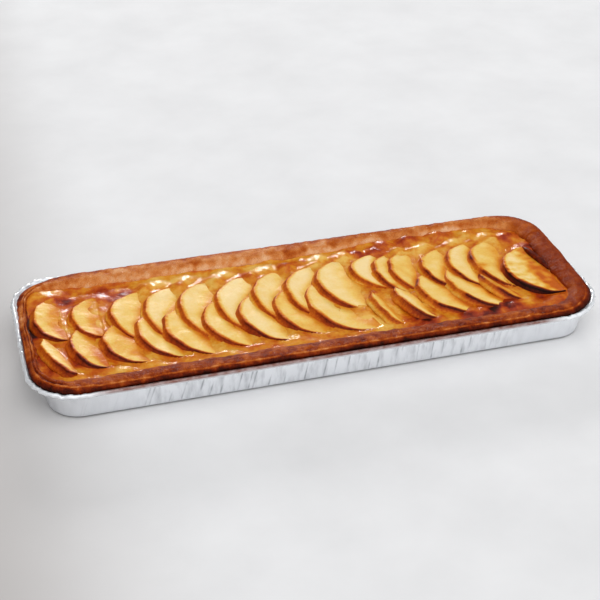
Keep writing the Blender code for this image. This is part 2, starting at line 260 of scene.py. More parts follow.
def trayPoint(share, ring):
    inset, height = ring
    point, out = wallSpot(share, height, inset, tray["endFlange"] if inset > -0.1 * mm else 0.0)
    way = share * roundTrip * mm

    # the wall is fluted, and slantwise dented towards its ends
    plain = smooth(*tray["plainFrom"], abs(point.x) / tray["length"])
    onWall = smooth(0.6 * mm, 3 * mm, height) * (1 - smooth(15.5 * mm, tray["wallTop"], height))
    crease = wave(way, height * 0.12, tray["fluteSize"], 3.0)
    crease = mix(crease, 0.6 - 2.2 * abs(crease), 0.5)
    fine = wave(way, height * 0.05, 1.9 * mm, 5.0)
    strength = 0.55 + 0.45 * wave(way, 0, 38 * mm, 7.0)
    fluted = (crease + 0.15 * fine) * strength * (1 - tray["plainness"] * plain)
    slant = wave(way + height * 1.3, height * 0.4, 9 * mm, 11.0)
    slanted = plain * (0.5 * slant + 0.5 * (0.4 - 2 * abs(slant)))
    point += out * tray["flute"] * (fluted + slanted) * onWall

    # the lip is crinkled, pleated round the corners and turned up at two of them
    onLip = smooth(17.5 * mm, 18.6 * mm, height)
    atCorner = smooth(*tray["pleatsFrom"], abs(point.x) / tray["length"])
    pleats = mix(tray["crinkle"], tray["cornerCrinkle"], atCorner)
    pinch = wave(way, height, 3.2 * mm, 13.0) + 0.7 * wave(way, height, 1.4 * mm, 17.0)
    point -= out * pleats * onLip * (0.45 + pinch * 0.5)
    point.z = height - onLip * pleats * (0.4 + 0.5 * wave(way, 9, 4.1 * mm, 19.0))
    turnedUp = smooth(-135 * mm, -158 * mm, point.x) * smooth(-8 * mm, 22 * mm, point.y)
    turnedUp += 0.4 * smooth(145 * mm, 165 * mm, point.x) * smooth(0, -30 * mm, point.y)
    point.z += tray["lift"] * turnedUp * smooth(16 * mm, 19 * mm, height)

    # the near side's lip is painted brown as a reflection of the crust above it, and the foot is painted dark
    # as shade
    nearSide = smooth(0.3, 0.9, -out.y) * (1 - smooth(*tray["crustReflectionTo"], abs(point.x) / tray["length"]))
    brownTint = nearSide * smooth(tray["beadHeight"] - 0.6 * mm, tray["beadHeight"] + 0.6 * mm, height)
    # painted shade: the foil darkens towards the floor
    foot = 1 - smooth(0.3 * mm, 1.5 * mm, height)
    return point, (way, onWall * (1 - tray["plainness"] * plain), onLip, brownTint, foot)


def foilMaterial():
    look = tray["look"]
    material = bpy.data.materials.new("foil")
    material.use_nodes = True
    tree = material.node_tree
    shader = tree.nodes["Principled BSDF"]
    place = addNode(tree, "TexCoord", {}).outputs["Object"]
    way, wall, lip, brownTint, foot = (addNode(tree, "Attribute", {}, attribute_name=mark).outputs["Fac"]
                                   for mark in tray["marks"])

    # creases down the wall, at uneven distances and a little aslant
    rise = addNode(tree, "SeparateXYZ", {0: place}).outputs["Z"]
    slanted = mathNode(tree, "SUBTRACT", way, mathNode(tree, "MULTIPLY", rise, look["creaseLean"]))
    apart = addNode(tree, "TexVoronoi", {"W": slanted, "Scale": 1 / look["creaseGap"]},
                    voronoi_dimensions="1D").outputs["Distance"]
    groove = rangeNode(tree, apart, 0.0, look["creaseWidth"], 1.0, 0.0, "SMOOTHSTEP")
    depth = rangeNode(tree, noiseNode(tree, place, 9 * mm, 1.0, 0.5, (1, 1, 0.5)), 0.4, 0.6, 0.0, 1.0)
    groove = mathNode(tree, "MULTIPLY", mathNode(tree, "MULTIPLY", groove, depth), wall)

    # pale metal with painted reflection streaks down the wall and painted shade in the creases, then the
    # crust's reflection painted on the lip and painted shade at the foot
    # painted reflection: streaks of darker tone down the wall
    streaks = noiseNode(tree, place, look["streakSize"], 3.0, 0.5, (1, 1, 0.10))
    streaks = mathNode(tree, "MULTIPLY", mathNode(tree, "SUBTRACT", streaks, 0.5), wall)
    tone = mathNode(tree, "SUBTRACT", mathNode(tree, "ADD", streaks, look["paleness"]),
                    mathNode(tree, "MULTIPLY", groove, look["creaseShade"]))
    shade = rampNode(tree, tone, ((0.0, look["grooveShadeTone"]), (0.3, look["streakShadeTone"]), (0.6, look["tone"])))
    # painted reflection of the crust on the near side's lip
    lipReflection = mathNode(tree, "ADD", noiseNode(tree, place, 5 * mm, 4.0, 0.6, (1, 2, 2)), 0.4)
    lipReflection = mathNode(tree, "MULTIPLY", lipReflection, brownTint, clamp=True)
    shade = tintNode(tree, lipReflection, shade, look["brownTint"])
    shade = tintNode(tree, foot, shade, look["footShadeTone"])
    tree.links.new(shade, shader.inputs["Base Color"])

    # the lip is glossier than the wall, and less of a mirror
    dull = rangeNode(tree, noiseNode(tree, place, 9 * mm, 4.0), 0.0, 1.0, *look["rough"])
    dull = mathNode(tree, "SUBTRACT", dull, mathNode(tree, "MULTIPLY", lip, look["lipGloss"]))
    tree.links.new(dull, shader.inputs["Roughness"])
    metal = mathNode(tree, "SUBTRACT", 1.0, mathNode(tree, "MULTIPLY", lip, look["lipPale"]))
    tree.links.new(metal, shader.inputs["Metallic"])

    # small dents, a crinkled lip and the creases' grooves
    deep = mathNode(tree, "ADD", mathNode(tree, "MULTIPLY", wall, look["wallDent"]), look["dent"])
    dents = mathNode(tree, "MULTIPLY", noiseNode(tree, place, look["dentSize"], 3.0, 0.5, (1, 1, 0.25)), deep)
    crinkles = mathNode(tree, "MULTIPLY", noiseNode(tree, place, look["crinkleSize"], 3.0), lip)
    dents = mathNode(tree, "ADD", dents, crinkles)
    dents = mathNode(tree, "SUBTRACT", dents, mathNode(tree, "MULTIPLY", groove, look["creaseDent"]))
    relief = addNode(tree, "Bump", {"Height": dents, "Strength": 0.7, "Distance": 0.6 * mm})
    tree.links.new(relief.outputs[0], shader.inputs["Normal"])
    return material


def makeTray():
    rings = trayRings()
    last = len(rings) - 1
    bm = gridSkin(tray["steps"], last, lambda u, v: trayPoint(u, rings[round(v * last)]),
                  marks=tray["marks"], seam=True)
    base = [edge for edge in bm.edges if edge.is_boundary
            and edge.verts[0].co.z < 1 * mm and edge.verts[1].co.z < 1 * mm]
    bmesh.ops.holes_fill(bm, edges=base, sides=0)
    piece = makePiece("foilTray", bm, foilMaterial(), "foil", "foil_tray")
    sheet = piece.modifiers.new("sheet", "SOLIDIFY")
    sheet.thickness = tray["foil"]
    sheet.offset = 1.0
    print("tray made")


# the pastry case

crust = dict(
    gap=0.45 * mm, nearDrop=0.6 * mm, steps=840,
    hollow=(326 * mm, 96 * mm, 18 * mm), hollowX=-3.7 * mm, taper=(0.945, 0.91),
    # the outer wall: inset and height in mm; the hollow: how far up its taper, and height in mm
    wall=((2.0, 0.8), (0.8, 2.0), (0.8, 8.0), (0.8, 14.0), (0.8, 18.4)),
    inside=((1.0, 16.0), (0.5, 9.0), (0.0, 4.2)),
    # the rim: share of the way to the hollow, height, how uneven, and how far it stands out over the lip
    profile=((0.0, 19.0, 0.0, -0.1), (0.0, 19.9, 0.1, 0.0), (0.0, 20.25, 0.2, 0.6), (0.0, 20.8, 0.4, 0.95),
             (0.0, 21.4, 0.6, 1.0), (0.01, 22.0, 0.8, 0.8), (0.04, 22.45, 0.9, 0.3), (0.09, 22.75, 1.0, 0),
             (0.15, 22.9, 1.0, 0), (0.22, 23.0, 1.0, 0), (0.30, 23.0, 1.0, 0), (0.38, 23.0, 1.0, 0),
             (0.46, 22.9, 1.0, 0), (0.54, 22.75, 1.0, 0), (0.62, 22.5, 1.0, 0), (0.70, 22.1, 1.0, 0),
             (0.78, 21.6, 0.9, 0), (0.85, 21.1, 0.8, 0), (0.92, 20.5, 0.7, 0), (1.0, 19.4, 0.5, 0)),
    # heights of the rim's slow swing, lumps and grain, and how much calmer its right end is
    swing=0.42 * mm, lumps=0.45 * mm, grain=0.16 * mm, calm=0.75,
    # how far the filling eats into the rim, where the rim leaves the lip bare, and the left end's folds
    ragged=3.0 * mm, bare=(1.8 * mm, 2.4 * mm), spill=4.5 * mm, folds=0.6 * mm,
    # how much darker or paler each part of the rim is: mostly its baking, but the darker outer side is painted
    # shade, and the darker left end partly painted shade
    bake=dict(rim=0.42, far=-0.10, ends=0.10, near=0.14, farEdge=0.20, nearEdge=0.10, right=0.12, left=0.02,
              gap=0.50, side=0.22, paleEdgeLine=-0.50, inner=0.06, farInner=-0.14, nearInner=-0.06,
              farMiddle=-0.08, drift=0.12, lump=0.10, fine=-0.18, fold=-0.14),
    look=dict(
        patches=((11 * mm, 0.75, 5.0), (2.4 * mm, 0.26, 4.0), (0.6 * mm, 0.42, 2.0)),
        stops=((0.0, (236, 182, 136)), (0.22, (212, 131, 68)), (0.42, (180, 86, 24)),
               (0.62, (138, 49, 9)), (0.8, (92, 25, 6)), (1.0, (44, 13, 6))),
        speckSize=0.9 * mm, speckFrom=0.62, speckAmount=0.5, speck=(110, 46, 20),
        rough=(0.4, 0.6), coat=0.04, coatRough=0.16, glow=0.0, specular=0.03,
        bumps=((0.7 * mm, 0.35, 3.0), (1.8 * mm, 0.45, 3.0), (5 * mm, 1.2, 3.0)),
    ),
)


def nearness(y):
    # 0 over most of the width, up to 1 on the near rim
    return min(1.0, max(0.0, -y / (tray["width"] / 2) - 0.4) / 0.5)


def spill(x, y):
    # how far the filling has run out over the rim, along the right part of its far side
    along = smooth(32 * mm, 55 * mm, x) * smooth(152 * mm, 135 * mm, x)
    return crust["spill"] * along * smooth(20 * mm, 42 * mm, y)


def crustRings():
    # kind, share or inset, height in mm, and how much of the unevenness and overhang each ring gets
    rings = [("wall", inset, height, 0.0, 0.0) for inset, height in crust["wall"]]
    rings += [("rim", *row) for row in crust["profile"]]
    rings += [("hollow", share, height, 0.0, 0.0) for share, height in crust["inside"]]
    return rings


def crustPoint(share, ring):
    kind, across, height, uneven, outstand = ring
    height *= mm
    if kind == "wall":
        point, out = wallSpot(share, height, across * mm, tray["endFlange"])
        # the outer wall is painted dark, as shade between the crust and the foil
        return Vector((point.x, point.y, height)), (0.8, 0.5)
    inset = tray["lip"] + crust["gap"]
    edge, out = walk(share, tray["length"] - 2 * inset, tray["width"] - 2 * inset, tray["corner"] - inset)
    core, _ = walk(share, *crust["hollow"])
    core.x += crust["hollowX"]
    core.y += spill(core.x, core.y)
    if kind == "hollow":
        tx, ty = (mix(t, 1.0, across) for t in crust["taper"])
        return Vector((crust["hollowX"] + (core.x - crust["hollowX"]) * tx, core.y * ty, height)), (0.5, 0.5)

    # the rim runs from its outer edge to a ragged inner one
    near = nearness(edge.y)
    way = share * roundTrip * mm
    ragged = 0.5 + 0.5 * wave(way, 7, 11 * mm, 33.0) + 0.3 * wave(way, 7, 4 * mm, 35.0)
    leftGap = smooth(-150 * mm, -160 * mm, edge.x) * exp(-((edge.y - 12 * mm) / (16 * mm)) ** 2)
    core -= out * crust["ragged"] * max(0.0, ragged) * (1 - leftGap)
    point = edge.lerp(core, across + 0.04 * near * (1 - across))
    lump = wave(point.x, point.y, 34 * mm, 1.0 + across) + 0.5 * wave(point.x, point.y, 13 * mm, 5.0 + across)
    fine = rough(point.x, point.y, 5 * mm, 21.0)
    grain = rough(point.x, point.y, 1.6 * mm, 23.0, 2)
    leftSide, rightSide = smooth(-128 * mm, -158 * mm, edge.x), smooth(140 * mm, 165 * mm, edge.x)
    calm = 1 - crust["calm"] * rightSide * (1 - near)
    height += uneven * (crust["swing"] * lump + calm * (crust["lumps"] * fine + crust["grain"] * grain))
    height -= crust["nearDrop"] * near
    outward = 0.45 * mm * wave(way, 0, 11 * mm, 27.0) + 0.3 * mm * wave(way, 3, 3 * mm, 29.0)
    outward -= crust["bare"][0] * max(leftSide, rightSide * smooth(10 * mm, -30 * mm, edge.y))
    outward -= crust["bare"][1] * leftSide * smooth(5 * mm, 40 * mm, edge.y)
    point += out * (outward * (1 - across) * uneven + outstand * mm)
    leftEnd = smooth(-148 * mm, -160 * mm, point.x)
    fold = sin(2 * pi * (2.3 * across + 0.35 * wave(way, across, 17 * mm, 37.0)))
    height += crust["folds"] * leftEnd * uneven * fold

    # how far the point belongs to each part that is coloured its own way
    ends = smooth(0.40, 0.49, abs(point.x) / tray["length"])
    far = smooth(20 * mm, 50 * mm, point.y)
    outer, inner = 1 - smooth(0.0, 0.35, across), smooth(0.6, 0.95, across)
    # a thin, broken pale line along the near rim's outer edge
    paleGrain = max(0.0, 0.6 + 0.7 * wave(way, 0, 5 * mm, 39.0))
    mottled = 1 - 0.5 * rightSide
    parts = dict(
        rim=1.0, far=far, ends=ends * (1 - far), near=near, farEdge=outer * far, nearEdge=outer * near,
        right=rightSide * (1 - near), left=leftSide * (1 - near), gap=leftGap * smooth(0.75, 0.98, across),
        # side: the rim's outer side, below its edge, painted darker as shade
        side=(1 - smooth(20.8 * mm, 22.4 * mm, height)) * (1 - smooth(0.03, 0.15, across)),
        paleEdgeLine=paleGrain * near * exp(-((across - 0.10) / 0.035) ** 2),
        inner=inner * (1 - far) * (1 - near), farInner=inner * far, nearInner=inner * near,
        farMiddle=far * smooth(-110 * mm, -90 * mm, point.x) * smooth(10 * mm, -20 * mm, point.x),
        drift=wave(way, 0, 22 * mm, 31.0), lump=lump * mottled, fine=fine * mottled, fold=fold * leftEnd)
    toast = sum(crust["bake"][part] * amount for part, amount in parts.items())
    return Vector((point.x, point.y, height)), (toast, 1 - 0.5 * max(rightSide, 0.8 * far))


def makeCrust():
    rings = crustRings()
    last = len(rings) - 1
    bm = gridSkin(crust["steps"], last, lambda u, v: crustPoint(u, rings[round(v * last)]), seam=True)
    closeHoles(bm)
    makePiece("pastryCase", bm, bakedMaterial("pastry", crust["look"]), "pastry", "pastry_case")
    print("crust made")


# the apple slices

apple = dict(
    top=23.6 * mm, coreBulge=1.5 * mm, curl=5.6,        # the curl is upward, per metre
    thick=5.6, edge=0.8, bulge=1.9, steps=80,           # of the cross-section, in mm
    flatLean=12, flatCurl=0.4, scorch=2.6,              # a slice that leans less lies flat and caught most
    # painted contact shade, with some of the flesh's deeper yellow, where a face runs in under a later slice
    shadeAndAmber=0.17, shadeReach=2.6 * mm, shadeTop=0.35,
    # raised edge x and y, length, depth (mm), turn and lean (degrees), char, darkness of the near end's
    # skin side (partly baking, partly painted shade), and depth of the face's yellow (deeper on the left-end
    # slices partly as painted shade)
    far=((-163.0, 13, 45, 16, 4, 16, 0.55, 0.35, 0.13), (-141.0, 10, 42, 16, 0, 16, 0.40, 0.1, 0.15),
         (-118.0, 8, 54, 24, -4, 18, 0.30, 0.05, 0.08), (-98.5, 6, 60, 26, -5, 18, 0.30, 0.0, 0.01),
         (-77.0, 3, 66, 28, -3, 18, 0.15, 0.0, 0.05), (-54.5, 4, 63, 28, -4, 18, 0.10, 0.0, -0.02),
         (-31.0, 5, 61, 27, -3, 18, 0.10, 0.0, 0.04), (-10.5, 5, 62, 27, -4, 18, 0.15, 0.12, -0.01),
         (10.5, 7, 59, 28, 2, 18, 0.30, 0.2, 0.02), (35.5, 18, 41, 24, -4, 18, 0.15, 0.0, -0.04),
         (49.5, 14, 47, 20, -6, 20, 0.60, 0.05, 0.06), (59.0, 13, 48, 22, -6, 20, 0.35, 0.0, 0.11),
         (80.0, 10, 51, 24, -5, 18, 0.80, 0.1, 0.09), (97.5, 10, 53, 24, -6, 18, 0.75, 0.05, 0.04),
         (113.0, 7, 59, 26, -3, 18, 0.80, 0.05, 0.11), (128.5, -11, 55, 26, 4, 9, 1.0, 0.35, 0.07)),
    near=((-158.8, -27, 40, 7, 20, 15, 0.50, 0.25, 0.04), (-145.0, -20, 45, 16, 6, 18, 0.75, 0.38, 0.11),
          (-127.0, -20, 45, 23, 4, 18, 0.50, 0.3, 0.15), (-106.5, -15, 54, 26, 2, 18, 0.40, 0.2, 0.08),
          (-90.0, -15, 58, 28, 2, 18, 0.40, 0.32, 0.10), (-66.5, -14, 56, 27, 2, 18, 0.25, 0.12, 0.08),
          (-44.5, -13, 57, 28, 0, 18, 0.45, 0.38, 0.02), (-22.0, -13, 56, 27, 2, 18, 0.30, 0.25, 0.13),
          (-1.0, -18, 64, 29, 13, 18, 0.30, 0.3, 0.06), (38.3, -26, 38, 7, 10, 28, 0.20, 0.0, 0.10),
          (54.5, -25, 42, 12, 15, 24, 0.50, 0.3, 0.02), (69.5, -22, 53, 24, 15, 18, 0.95, 0.1, 0.09),
          (91.0, -22, 57, 23, 19, 18, 0.95, 0.1, 0.07), (113.0, -21, 41, 14, 18, 28, 0.80, 0.1, 0.26)),
    # toast of the skin side, of the brown line and the halo along the face's edge, and of the face;
    # widths in mm
    wall=dict(top=0.52, foot=0.24, patchy=0.10, burn=0.34, brownTint=0.5, flat=0.3, most=0.68, flatMost=0.9),
    line=dict(toast=0.41, burn=0.36, brownTint=0.45, width=1.05, burnWidth=0.7, tintWidth=2.2, mostTint=0.45),
    halo=dict(toast=0.22, burn=0.12, lower=0.08, width=2.0, lowerWidth=1.2),
    face=dict(toast=0.02, middle=0.15, core=0.10, lower=0.04, burn=0.3, tips=0.07, patchy=0.05,
              most=0.28, burnMost=0.2),
    flatFace=dict(patchy=0.24, core=0.14, tip=0.12),
    look=dict(
        patches=((6 * mm, 0.16, 3.0), (1.5 * mm, 0.26, 4.0), (0.5 * mm, 0.14, 2.0)),
        stops=((0.0, (250, 220, 158)), (0.14, (240, 197, 100)), (0.28, (227, 151, 44)),
               (0.44, (204, 100, 22)), (0.62, (154, 55, 10)), (0.8, (90, 23, 7)), (1.0, (34, 11, 8))),
        speckSize=0.7 * mm, speckFrom=0.70, speckAmount=0.25, speck=(206, 150, 74),
        rough=(0.4, 0.6), coat=0.09, coatRough=0.25, glow=0.08, specular=0.05,
        bumps=((1.1 * mm, 0.10, 2.0), (5 * mm, 0.5, 2.0)),
    ),
)


def liesFlat(row):
    return row[5] < apple["flatLean"]


def curlOf(row):
    return apple["curl"] * (apple["flatCurl"] if liesFlat(row) else 1.0)


def sliceFrame(row):
    edgeX, edgeY, _, depth, turn, lean = row[:6]
    turned = Matrix.Rotation(radians(turn), 4, "Z") @ Matrix.Rotation(radians(lean), 4, "Y")
    middle = Vector((edgeX * mm, edgeY * mm, apple["top"])) + turned @ Vector((depth * mm, 0, 0))
    turned.translation = middle
    return turned


def allSlices():
    # both rows in the order in which they were laid, from left to right
    rows = [("far", i + 1, row) for i, row in enumerate(apple["far"])]
    rows += [("near", i + 1, row) for i, row in enumerate(apple["near"])]
    rows.sort(key=lambda named: named[2][0])
    return [(order, *named) for order, named in enumerate(rows)]


def arcBump(order, row, angle):
    return 1 + 0.04 * wave(row[0] * mm + angle * 9 * mm, 0, 11 * mm, order)


def sectionSpots():
    # once round a slice: (distance in from the arc, share of the chord, depth below the face), in mm
    e, t = apple["edge"], apple["thick"]
    spots = []
    for step in range(13):          # the face, from the core side to the arc
        spots.append((e, 1 - step / 12, 0.0))
    for degrees in (25, 50, 75):    # the rounded upper edge
        a = radians(degrees)
        spots.append((e - e * sin(a), 0.0, e - e * cos(a)))
    for depth in (e, 1.4, 2.0, 2.6, 3.2, 3.9, t - e):
        spots.append((-apple["bulge"] * ((depth - e) / (t - 2 * e)) ** 0.8, 0.0, depth))
    for degrees in (40, 80):
        a = radians(degrees)
        spots.append(((e + apple["bulge"]) * (1 - cos(a)) - apple["bulge"], 0.0, t - e + e * sin(a)))
    for step in range(1, 5):        # the underside
        spots.append((e, step / 4, t))
    for inward, depth in ((0.3, t - 1.2), (0.0, t - 2.2), (0.3, 1.2)):      # the core side
        spots.append((inward, 1.0, depth))
    spots.append(spots[0])
    return spots


def addJuice(bm, order):
    # a face is deeper yellow where it runs in under a later slice: partly painted contact shade, partly the
    # flesh's own deeper yellow
    toast = bm.verts.layers.float["toast"]
    verts = list(bm.verts)
    spots = np.array([vert.co[:2] for vert in verts])
    nearest = np.full(len(verts), 1.0)
    for later, _, _, row in allSlices():
        if later > order:
            for degrees in range(-88, 89, 4):
                away = np.linalg.norm(spots - arcSpot(row, degrees, 0.6 * mm), axis=1)
                nearest = np.minimum(nearest, away)
    for vert, away in zip(verts, nearest):
        if vert[toast] < apple["shadeTop"]:
            vert[toast] += apple["shadeAndAmber"] * exp(-(away / apple["shadeReach"]) ** 2)


def makeSlice(order, rowName, number, row, material):
    edgeX = row[0]
    length, depth = row[2] * mm, row[3] * mm
    turned = sliceFrame(row)
    spots = sectionSpots()

    def place(u, v):
        inward, share, below = spots[round(v * (len(spots) - 1))]
        angle = (u - 0.5) * pi * 0.985
        tip = cos(angle)
        # the arc's outline is a little ragged, and the slice thins out to its two tips
        ragged = 0.22 * mm * wave(angle * 30 * mm, 0, 2.2 * mm, order + 0.5)
        ragged += 1.0 * mm * wave(angle * 30 * mm, 3, 10 * mm, order + 0.7)
        arcX = -depth * arcBump(order, row, angle) * tip - ragged
        coreX = apple["coreBulge"] * tip
        chord = coreX - arcX
        grip = min(1.0, chord / (2.2 * mm))
        x = arcX + inward * mm * grip + (chord - 2 * inward * mm * grip) * share
        y = length / 2 * sin(angle)
        thin = mix(0.55, 1.0, smooth(0.0, 0.35, tip))
        sag = 1.0 * mm * wave(edgeX + x / mm, y / mm, 13, order + 0.3)
        sag += 0.12 * mm * wave(edgeX + x / mm, y / mm, 3.5, order + 0.9)
        level = -below * mm * thin + curlOf(row) * (depth + x) ** 2 + sag
        point = turned @ Vector((x, y, level))
        fromEdge = (x - arcX) / mm
        return point, sliceToast(x / mm, fromEdge, below, y / (length / 2), share, row, order)

    bm = gridSkin(apple["steps"], len(spots) - 1, place, seam=True)
    closeHoles(bm)
    addJuice(bm, order)
    name = f"appleSlice{rowName.capitalize()}{number:02d}"
    makePiece(name, bm, material, "apple", f"apple_slice_{rowName}_{number:02d}")


def sliceToast(x, fromEdge, below, along, share, row, order):
    # a slice caught in places, and most towards its near end
    char, brownTint = row[6:8]
    caught = wave(along * 2.4, order * 1.7, 1, 41.0)
    nick = wave(along * 12, order * 1.7, 1, 47.0)
    lower = smooth(0.2, -0.8, along)
    burn = char * smooth(-0.2, 0.5, 0.7 * caught + 0.8 * lower + 0.5 * nick - 0.1)
    if below > 0.3 and share < 0.5:
        return wallToast(below, along, caught, lower, burn, brownTint, liesFlat(row)), 1.0
    return faceToast(x, fromEdge, along, share, lower, burn, row, order), 0.4 + exp(-max(0.0, fromEdge) / 1.6)


def wallToast(below, along, caught, lower, burn, brownTint, flat):
    # a brown skin side that is paler at its foot
    wall = apple["wall"]
    down = min(1.0, below / 3.6)
    toast = mix(wall["top"], wall["foot"], smooth(0.45, 1.0, down)) + wall["patchy"] * caught
    toast += wall["flat"] * flat * smooth(0.6, -0.2, along)
    # the near end's skin side darkens, partly from baking and partly as painted shade
    toast += wall["brownTint"] * brownTint * smooth(0.5, 1.0, down) + brownTint * lower * (1 - 0.3 * down)
    toast = min(toast, wall["flatMost"] if flat else wall["most"])
    return toast + wall["burn"] * burn * (1 - smooth(0.1, 0.5, down))


def faceToast(x, fromEdge, along, share, lower, burn, row, order):
    # a pale face, browner to its core side (partly painted shade of the next slice) and tips, with a brown
    # line and a golden halo at its edge
    line, halo, face, flatFace = (apple[part] for part in ("line", "halo", "face", "flatFace"))
    char, brownTint, gold = row[6:]
    scorch = apple["scorch"] if liesFlat(row) else 1.0
    # the brown line widens at the near end, partly from baking and partly as painted shade
    lowerTint = min(brownTint, line["mostTint"]) * lower
    width = line["width"] + line["burnWidth"] * burn * scorch + line["tintWidth"] * lowerTint
    lineToast = line["toast"] + line["burn"] * burn + line["brownTint"] * lowerTint
    lineToast *= exp(-(max(0.0, fromEdge) / width) ** 3)
    haloToast = halo["toast"] + halo["burn"] * burn + halo["lower"] * lower
    haloToast *= exp(-(fromEdge / (halo["width"] + halo["lowerWidth"] * lower)) ** 2)
    # the face darkens towards its core side, partly as painted shade where the next slice lies over it
    toast = gold + face["toast"] + face["middle"] * smooth(0.3, 0.85, share)
    toast += face["core"] * smooth(0.85, 1.0, share)
    toast += (face["lower"] + face["burn"] * char * char) * lower * smooth(0.35, 0.8, share)
    toast += face["tips"] * smooth(0.7, 1.0, abs(along))
    toast += (face["patchy"] + 2 * gold * gold) * wave(x, along * row[2] / 2, 6, order + 0.4)
    if liesFlat(row):
        toast += flatFace["patchy"] * wave(x, along * row[2] / 2, 4.0, order + 0.6)
        toast += flatFace["core"] * smooth(0.4, 0.8, share) * smooth(-0.5, 0.3, along)
        toast += flatFace["tip"] * smooth(-0.45, -0.85, along)
    toast = min(toast, face["most"] + face["burnMost"] * char)
    return max(toast, lineToast, haloToast)


def makeSlices():
    material = bakedMaterial("apple", apple["look"])
    for order, rowName, number, row in allSlices():
        makeSlice(order, rowName, number, row, material)
    makePeel(material)
    print("slices made")


# the set filling

filling = dict(
    level=18.4 * mm, edgeRise=1.6 * mm, floor=5.1 * mm, over=0.6 * mm, grid=(330, 100),
    # drawn up beside a slice's arc, and flooding over the cores
    ridge=1.5 * mm, reach=4.2 * mm, faceReach=0.5 * mm, flood=19.5 * mm, floodReach=5.5 * mm,
    # the share of each slice, from its core, that lies under the filling
    covers=dict(far1=0.1, far2=0.35, far10=0.3, far16=0.0, near1=0.0, near2=0.15, near3=0.1, near11=0.0,
                near12=0.15, near13=0.35, near14=0.2),
    cover=0.1,
    swell=1.25,             # times the heights below
    # puffed up or browned places: x, y, radius, height (mm) and toast
    humps=((-157, 41, 11, 2.9, -0.12), (-147, 42, 8, 2.0, -0.16), (-141, 36, 6, 0.7, 0.36),
           (-131, 31, 6, 1.6, -0.10), (-121, 33, 7, 0.5, 0.30), (-109, 34, 8, 0.5, 0.24),
           (-93, 36, 6, 2.2, 0.10), (-84, 37, 7, 1.5, -0.16), (-73, 31, 5, 2.4, 0.24),
           (-67, 38, 7, 1.6, -0.10), (-48, 31, 5, 2.0, 0.18), (-42, 38, 7, 1.6, -0.12),
           (-27, 31, 5, 1.8, 0.20), (-15, 36, 7, 1.8, -0.12), (-3, 36, 6, 2.8, 0.30),
           (10, 40, 5, 1.5, 0.0), (21, 40, 7, 1.9, -0.14), (29, 38, 4, 2.2, 0.22), (37, 40, 7, 1.9, -0.14),
           (46, 40, 5, 2.4, 0.26), (56, 40, 5, 2.6, 0.2), (66, 45, 7, 3.0, 0.26), (72, 36, 6, 2.4, -0.22),
           (83, 47, 7, 3.2, 0.28), (91, 36, 8, 2.0, -0.26), (104, 47, 7, 3.2, 0.28),
           (112, 37, 8, 2.0, -0.26), (125, 45, 6, 2.6, 0.12), (134, 39, 8, 2.0, -0.26),
           (148, 36, 6, 2.6, 0.40), (156, 20, 6, 1.0, 0.2), (153, 4, 4, 0.6, 0.4), (157, -8, 4, 0.4, 0.3),
           (-163, 5, 6, 0.0, 0.75), (-164, 14, 5, 0.0, 0.7), (-163, 22, 5, 0.0, 0.3),
           (-132, -28, 8, 0.0, 0.34), (-144, -30, 5, 0.0, 0.40), (-149, -43, 7, 0.0, -0.14),
           (-164, -22, 5, 0.0, 0.3), (-161, -32, 5, 0.0, 0.35), (-136, 22, 6, 0.0, 0.22),
           (-120, -45, 7, 0.8, -0.2), (60, -40, 9, 0.6, 0.46), (62, -46, 5, 1.0, 0.2),
           (90, -42, 7, 1.8, 0.34), (98, -44, 7, 1.5, 0.34), (110, -41, 7, 1.8, 0.34),
           (119, -43, 7, 1.5, 0.32), (124, -44, 6, 1.4, 0.0), (149, -42, 8, 1.5, -0.05),
           (140, -36, 10, 0.0, 0.18), (-99, -45, 9, 0.5, -0.16), (-60, -46, 9, 0.5, -0.12),
           (-18, -46, 10, 0.6, -0.10), (36, -43, 8, 0.2, -0.26), (-146, 34, 8, 0.0, 0.18),
           (30, -34, 8, 0.0, -0.2), (-140, 2, 8, 0.0, -0.14), (-114, 40, 7, 0.0, 0.18),
           (113, -35, 8, 0.0, 0.30), (43, 44, 6, 0.0, 0.2), (78, -46, 6, 0.6, -0.12)),
    # how much darker or paler each part of the filling is; the darker left end is partly painted shade
    bake=dict(all=0.28, far=-0.01, farMiddle=-0.11, ridge=0.14, patch=0.2, left=0.05, right=0.06, edge=0.14),
    look=dict(
        patches=((9 * mm, 0.42, 4.0), (2.4 * mm, 0.32, 4.0)),
        stops=((0.0, (236, 186, 88)), (0.2, (220, 142, 34)), (0.4, (196, 91, 10)),
               (0.6, (162, 52, 6)), (0.8, (104, 22, 5)), (1.0, (50, 12, 5))),
        speckSize=1.4 * mm, speckFrom=0.68, speckAmount=0.3, speck=(150, 60, 20),
        rough=(0.35, 0.5), coat=0.38, coatRough=0.07, glow=0.05, specular=0.04,
        bumps=((1.4 * mm, 0.20, 3.0), (4 * mm, 0.35, 2.0)),
    ),
)


def overSlice(spots, row):
    # where each spot of the ground plan falls on a slice: whether on it, how far from the core side as a
    # share of the chord, and the face's height there
    turned = np.array(sliceFrame(row))
    length, depth = row[2] * mm, row[3] * mm
    level = np.zeros(len(spots))
    flat = np.linalg.inv(turned[:2, :2])
    for _ in range(5):
        rest = spots - turned[:2, 3] - level[:, None] * turned[:2, 2]
        along = rest @ flat.T
        level = curlOf(row) * (depth + along[:, 0]) ** 2
    height = turned[2, 0] * along[:, 0] + turned[2, 1] * along[:, 1] + turned[2, 2] * level + turned[2, 3]
    lean = np.sqrt((1 - (2 * along[:, 1] / length) ** 2).clip(0, 1))
    arcX, coreX = -depth * lean, apple["coreBulge"] * lean
    inside = (lean > 0) & (along[:, 0] > arcX) & (along[:, 0] < coreX)
    return inside, (coreX - along[:, 0]) / (coreX - arcX + 1e-9), height


